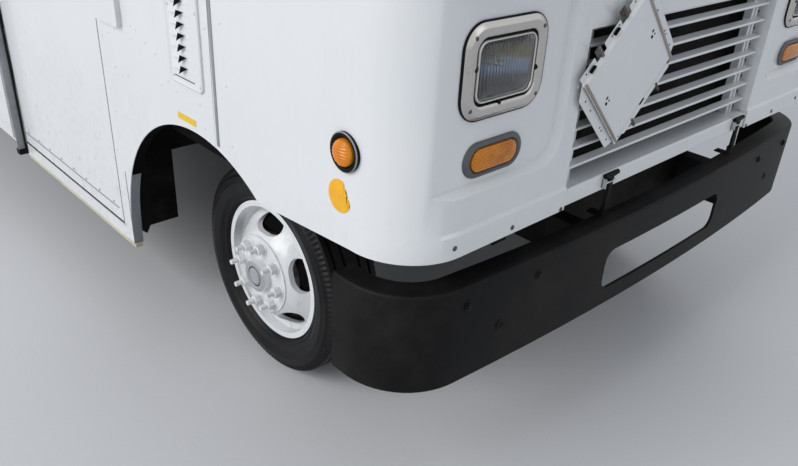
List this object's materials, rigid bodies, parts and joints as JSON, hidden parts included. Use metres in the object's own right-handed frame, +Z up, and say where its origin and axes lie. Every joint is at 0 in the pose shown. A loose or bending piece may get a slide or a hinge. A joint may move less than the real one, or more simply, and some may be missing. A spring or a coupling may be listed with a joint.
{
  "type": "food truck on a walk-in step van",
  "caption": "Walk-in step van built as a food truck, with sliding cab doors, a slatted grille, a serving hatch with fold-down shelf, rear doors and steered front wheels.",
  "frame": {"origin": "on the ground, under the middle of the truck's length and width over the mirrors", "axes": "+Z up, the truck faces -Y, its kerb side with the serving window is -X"},
  "size_m": [2.91, 7.1248, 3.3418],
  "materials": {
    "cap_white": "gloss gel coat",
    "body_white": "gloss",
    "window_glass": "clear, light tint",
    "lamp_glass": "ribbed clear",
    "chrome": "polished",
    "amber_lens": "ribbed, translucent",
    "red_lens": "ribbed, translucent",
    "black_steel": "satin",
    "chassis_black": "dull",
    "engine_grey": "dull",
    "wheel_white": "gloss",
    "tyre": "satin",
    "floor_plate": "worn plate",
    "stainless": "brushed",
    "dash_plastic": "grained",
    "seat_vinyl": "grained"
  },
  "bodies": {
    "chassis": {"front_cap": "cap_white", "grille": "body_white", "placard_holder": "body_white", "windshield_frame": "body_white", "cab_side_left": "body_white", "cab_side_right": "body_white", "body_side_left": "body_white", "body_side_right": "body_white", "roof": "body_white", "rear_frame": "body_white", "partition": "body_white", "cab_glass": "window_glass", "headlamp_glass": "lamp_glass", "headlamps": "chrome", "signal_lamps": "amber_lens", "tail_lamps": "red_lens", "front_bumper": "black_steel", "rear_bumper": "black_steel", "mirrors": "black_steel", "frame_rails": "chassis_black", "cross_members": "chassis_black", "front_axle": "chassis_black", "rear_axle": "chassis_black", "leaf_springs": "chassis_black", "step_wells": "chassis_black", "fuel_tank": "chassis_black", "engine": "engine_grey", "exhaust": "engine_grey", "floor": "floor_plate", "roof_vent": "stainless", "kitchen_units": "stainless", "extraction_hood": "stainless", "dashboard": "dash_plastic", "driver_seat": "seat_vinyl"},
    "hood_lid": {"hood_lid": "cap_white"},
    "serving_hatch": {"serving_hatch": "body_white"},
    "serving_shelf": {"serving_shelf": "stainless"},
    "cab_door_left": {"cab_door_left": "body_white", "door_glass_left": "window_glass"},
    "rear_door_left": {"rear_door_left": "body_white"},
    "knuckle_left": {"knuckle_left": "chassis_black"},
    "wheel_front_left": {"wheel_front_left": "wheel_white", "tyre_front_left": "tyre"},
    "wheel_rear_left": {"wheel_rear_left": "wheel_white", "tyres_rear_left": "tyre"},
    "cab_door_right": {"cab_door_right": "body_white", "door_glass_right": "window_glass"},
    "rear_door_right": {"rear_door_right": "body_white"},
    "knuckle_right": {"knuckle_right": "chassis_black"},
    "wheel_front_right": {"wheel_front_right": "wheel_white", "tyre_front_right": "tyre"},
    "wheel_rear_right": {"wheel_rear_right": "wheel_white", "tyres_rear_right": "tyre"}
  },
  "joints": [
    {"name": "hood_open", "type": "hinge", "parent": "chassis", "child": "hood_lid", "pos_m": [0, -3.1777, 1.7884], "axis": [-1, 0, 0], "range_deg": [0, 60]},
    {"name": "hatch_open", "type": "hinge", "parent": "chassis", "child": "serving_hatch", "pos_m": [-1.224, 1.1625, 2.617], "axis": [0, 1, 0], "range_deg": [0, 95]},
    {"name": "shelf_fold", "type": "hinge", "parent": "chassis", "child": "serving_shelf", "pos_m": [-1.226, 1.1625, 1.754], "axis": [0, 1, 0], "range_deg": [0, 90]},
    {"name": "steer_left", "type": "hinge", "parent": "chassis", "child": "knuckle_left", "pos_m": [0.69, -2.5875, 0.39], "axis": [0, 0, 1], "range_deg": [-32, 32]},
    {"name": "front_wheel_left", "type": "hinge", "parent": "knuckle_left", "child": "wheel_front_left", "pos_m": [0.86, -2.5875, 0.39], "axis": [1, 0, 0], "continuous": true},
    {"name": "rear_wheel_left", "type": "hinge", "parent": "chassis", "child": "wheel_rear_left", "pos_m": [0.86, 1.6125, 0.39], "axis": [1, 0, 0], "continuous": true},
    {"name": "cab_door_slide_left", "type": "slide", "parent": "chassis", "child": "cab_door_left", "axis": [0, 1, 0], "range_m": [0, 0.95]},
    {"name": "rear_door_open_left", "type": "hinge", "parent": "chassis", "child": "rear_door_left", "pos_m": [0.705, 3.3725, 1.8], "axis": [0, 0, -1], "range_deg": [0, 170]},
    {"name": "steer_right", "type": "hinge", "parent": "chassis", "child": "knuckle_right", "pos_m": [-0.69, -2.5875, 0.39], "axis": [0, 0, 1], "range_deg": [-32, 32]},
    {"name": "front_wheel_right", "type": "hinge", "parent": "knuckle_right", "child": "wheel_front_right", "pos_m": [-0.86, -2.5875, 0.39], "axis": [1, 0, 0], "continuous": true},
    {"name": "rear_wheel_right", "type": "hinge", "parent": "chassis", "child": "wheel_rear_right", "pos_m": [-0.86, 1.6125, 0.39], "axis": [1, 0, 0], "continuous": true},
    {"name": "cab_door_slide_right", "type": "slide", "parent": "chassis", "child": "cab_door_right", "axis": [0, 1, 0], "range_m": [0, 0.95]},
    {"name": "rear_door_open_right", "type": "hinge", "parent": "chassis", "child": "rear_door_right", "pos_m": [-0.705, 3.3725, 1.8], "axis": [0, 0, 1], "range_deg": [0, 170]}
  ],
  "couplings": [
    {"joint": "steer_left", "follows": "steer_right", "ratio": 1}
  ]
}
